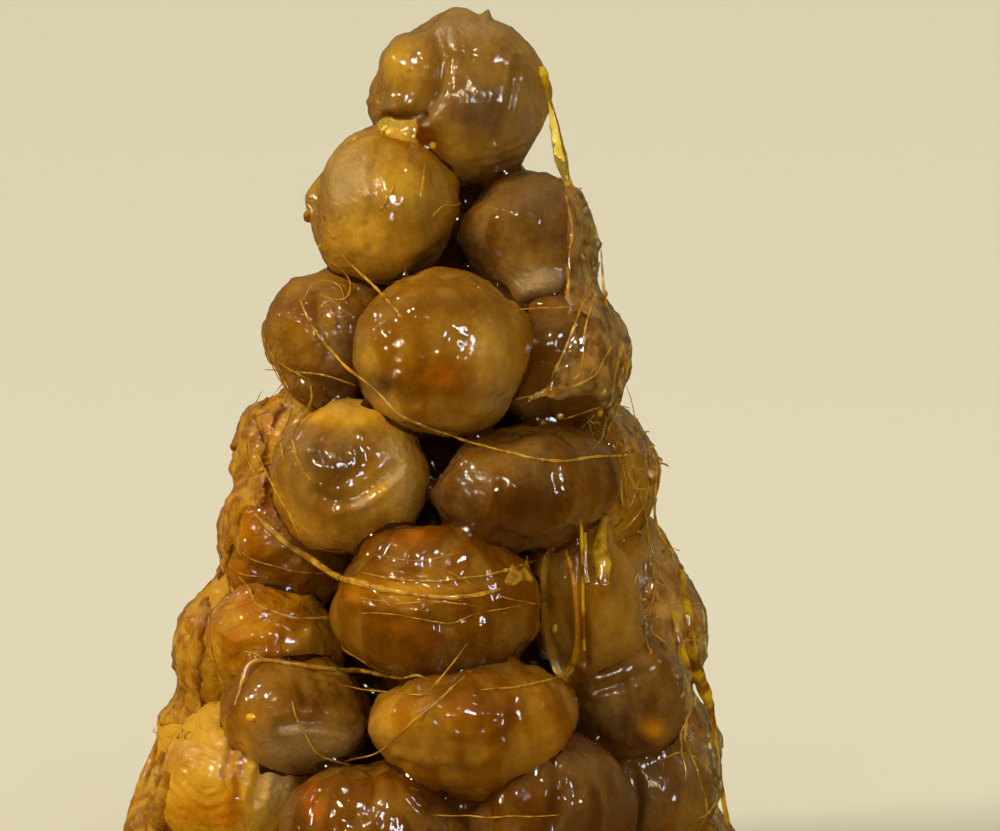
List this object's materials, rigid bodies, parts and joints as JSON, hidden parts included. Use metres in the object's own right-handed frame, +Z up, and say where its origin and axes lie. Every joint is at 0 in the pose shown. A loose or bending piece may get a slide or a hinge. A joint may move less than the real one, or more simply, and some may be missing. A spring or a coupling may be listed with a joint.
{
  "type": "croquembouche",
  "caption": "Leaning cone of glossy choux puffs stuck together with poured amber caramel, resting on its flat foot.",
  "frame": {"origin": "middle of the bounding box's base, on the surface that the tower stands on", "axes": "+Z up the tower, its longest extent; -Y is the front; the tower leans slightly towards +X"},
  "size_m": [0.1892, 0.1904, 0.2827],
  "materials": {
    "choux": "golden brown baked choux under a thin, clear, glossy caramel glaze",
    "caramel": "hard, clear amber caramel, glossy"
  },
  "bodies": {
    "root": {"inside": "caramel", "puff_1_1": "choux", "puff_2_1": "choux", "puff_2_2": "choux", "puff_2_3": "choux", "puff_3_1": "choux", "puff_3_2": "choux", "puff_3_3": "choux", "puff_3_4": "choux", "puff_3_5": "choux", "puff_4_1": "choux", "puff_4_2": "choux", "puff_4_3": "choux", "puff_4_4": "choux", "puff_4_5": "choux", "puff_4_6": "choux", "puff_5_1": "choux", "puff_5_2": "choux", "puff_5_3": "choux", "puff_5_4": "choux", "puff_5_5": "choux", "puff_5_6": "choux", "puff_5_7": "choux", "puff_6_1": "choux", "puff_6_2": "choux", "puff_6_3": "choux", "puff_6_4": "choux", "puff_6_5": "choux", "puff_6_6": "choux", "puff_6_7": "choux", "puff_6_8": "choux", "puff_6_9": "choux", "puff_7_1": "choux", "puff_7_2": "choux", "puff_7_3": "choux", "puff_7_4": "choux", "puff_7_5": "choux", "puff_7_6": "choux", "puff_7_7": "choux", "puff_7_8": "choux", "puff_7_9": "choux", "puff_7_10": "choux", "puff_8_1": "choux", "puff_8_2": "choux", "puff_8_3": "choux", "puff_8_4": "choux", "puff_8_5": "choux", "puff_8_6": "choux", "puff_8_7": "choux", "puff_8_8": "choux", "puff_8_9": "choux", "puff_8_10": "choux"}
  },
  "joints": []
}
